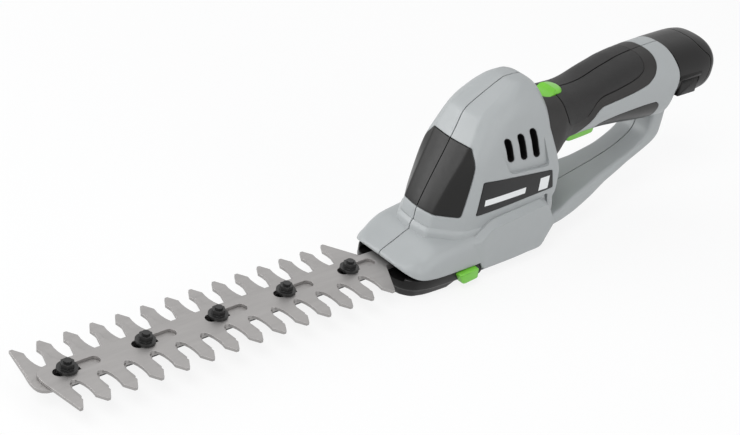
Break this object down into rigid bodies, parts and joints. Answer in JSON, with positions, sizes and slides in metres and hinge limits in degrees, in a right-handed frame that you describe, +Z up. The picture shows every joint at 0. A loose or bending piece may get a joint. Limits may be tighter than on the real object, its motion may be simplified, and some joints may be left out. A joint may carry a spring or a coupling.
{
  "type": "cordless grass shears",
  "caption": "Cordless garden shears with a double-acting shrub blade, a closed handle with trigger and guard, and a slide-in battery.",
  "frame": {"origin": "on the flat sole that the tool rests on, straight under the crank's axis", "axes": "+X from the blade's tip to the battery, +Y to the tool's right side, +Z up"},
  "size_m": [0.4653, 0.0608, 0.1129],
  "materials": {
    "grey_plastic": "fine moulded texture",
    "dark_plastic": "satin",
    "black_plastic": "semi-gloss",
    "green_plastic": "semi-gloss",
    "soft_grip": "soft moulded grip",
    "pad_rubber": "fine diamond texture",
    "label_film": "printed film, left blank",
    "blade_steel": "ground, bright bevels",
    "black_steel": "blackened",
    "bright_steel": "machined",
    "motor_steel": "drawn can",
    "ferrite": "sintered",
    "copper": "wound or stamped copper",
    "bronze": "sintered",
    "board": "solder mask",
    "red_wire": "insulation",
    "black_wire": "insulation",
    "cell_sleeve": "shrink sleeve"
  },
  "bodies": {
    "housing": {"housing_left": "grey_plastic", "housing_right": "grey_plastic", "front_panel_left": "dark_plastic", "front_panel_right": "dark_plastic", "rating_label": "label_film", "grip_left": "soft_grip", "grip_right": "soft_grip", "grip_pad_left": "pad_rubber", "grip_pad_right": "pad_rubber", "housing_screws": "bright_steel", "motor_mount": "motor_steel", "motor_can": "motor_steel", "motor_magnets": "ferrite", "motor_end_cap": "dark_plastic", "motor_screws": "bright_steel", "motor_bushes": "bronze", "control_board": "board", "motor_leads": "red_wire", "battery_leads": "black_wire", "trigger_switch": "black_plastic", "trigger_pin": "bright_steel", "trigger_spring": "bright_steel", "lock_off_spring": "bright_steel", "terminal_block": "black_plastic", "terminal_contacts": "copper"},
    "rotor": {"rotor_shaft": "bright_steel", "armature": "copper", "commutator": "copper", "cooling_fan": "dark_plastic", "motor_pinion": "bright_steel"},
    "cassette": {"cassette_base": "dark_plastic", "cassette_cover": "black_plastic", "cover_screws": "bright_steel", "support_bar": "black_steel", "bar_screws": "bright_steel", "blade_bolts": "black_steel", "flange_nuts": "black_steel", "crank_bushes": "bronze"},
    "crank": {"crank_shaft": "bright_steel", "crank_gear": "motor_steel"},
    "upper_blade": {"upper_blade": "blade_steel"},
    "lower_blade": {"lower_blade": "blade_steel"},
    "trigger": {"trigger": "green_plastic"},
    "lock_off": {"lock_off_button": "green_plastic"},
    "release_left": {"release_button_left": "green_plastic"},
    "release_right": {"release_button_right": "green_plastic"},
    "battery": {"battery_case": "black_plastic", "battery_end_cap": "black_plastic", "battery_cell": "cell_sleeve", "cell_strap": "bright_steel"},
    "latch_left": {"battery_latch_left": "dark_plastic"},
    "latch_right": {"battery_latch_right": "dark_plastic"}
  },
  "joints": [
    {"name": "cassette_drop", "type": "slide", "parent": "housing", "child": "cassette", "axis": [0, 0, -1], "range_m": [0, 0.04]},
    {"name": "crank_turn", "type": "hinge", "parent": "cassette", "child": "crank", "pos_m": [0, 0, 0.02], "axis": [0, 0, 1], "range_deg": [0, 180]},
    {"name": "rotor_turn", "type": "hinge", "parent": "housing", "child": "rotor", "pos_m": [0.025, 0, 0.05], "axis": [0, 0, 1], "range_deg": [-720, 0]},
    {"name": "upper_blade_slide", "type": "slide", "parent": "cassette", "child": "upper_blade", "axis": [1, 0, 0], "range_m": [-0.0106, 0]},
    {"name": "lower_blade_slide", "type": "slide", "parent": "cassette", "child": "lower_blade", "axis": [1, 0, 0], "range_m": [0, 0.0106]},
    {"name": "trigger_squeeze", "type": "hinge", "parent": "housing", "child": "trigger", "pos_m": [0.08, 0, 0.07], "axis": [0, -1, 0], "range_deg": [0, 11], "stiffness_Nm_per_rad": 0.5, "springref_deg": -11.46},
    {"name": "lock_off_press", "type": "slide", "parent": "housing", "child": "lock_off", "axis": [0, 0, -1], "range_m": [0, 0.003], "stiffness_N_per_m": 600, "springref_m": -0.003, "deforming": ["lock_off_spring"]},
    {"name": "release_left_press", "type": "slide", "parent": "cassette", "child": "release_left", "axis": [0, 1, 0], "range_m": [0, 0.0025], "stiffness_N_per_m": 800, "springref_m": -0.002},
    {"name": "release_right_press", "type": "slide", "parent": "cassette", "child": "release_right", "axis": [0, -1, 0], "range_m": [0, 0.0025], "stiffness_N_per_m": 800, "springref_m": -0.002},
    {"name": "battery_slide", "type": "slide", "parent": "housing", "child": "battery", "axis": [1, 0, 0], "range_m": [0, 0.06]},
    {"name": "latch_left_press", "type": "slide", "parent": "battery", "child": "latch_left", "axis": [0, 1, 0], "range_m": [0, 0.0016], "stiffness_N_per_m": 800, "springref_m": -0.002},
    {"name": "latch_right_press", "type": "slide", "parent": "battery", "child": "latch_right", "axis": [0, -1, 0], "range_m": [0, 0.0016], "stiffness_N_per_m": 800, "springref_m": -0.002}
  ],
  "couplings": [
    {"joint": "lower_blade_slide", "follows": "upper_blade_slide", "ratio": -1},
    {"joint": "crank_turn", "follows": "upper_blade_slide", "rad_per_m": -296.38},
    {"joint": "rotor_turn", "follows": "upper_blade_slide", "rad_per_m": 1185.5}
  ]
}
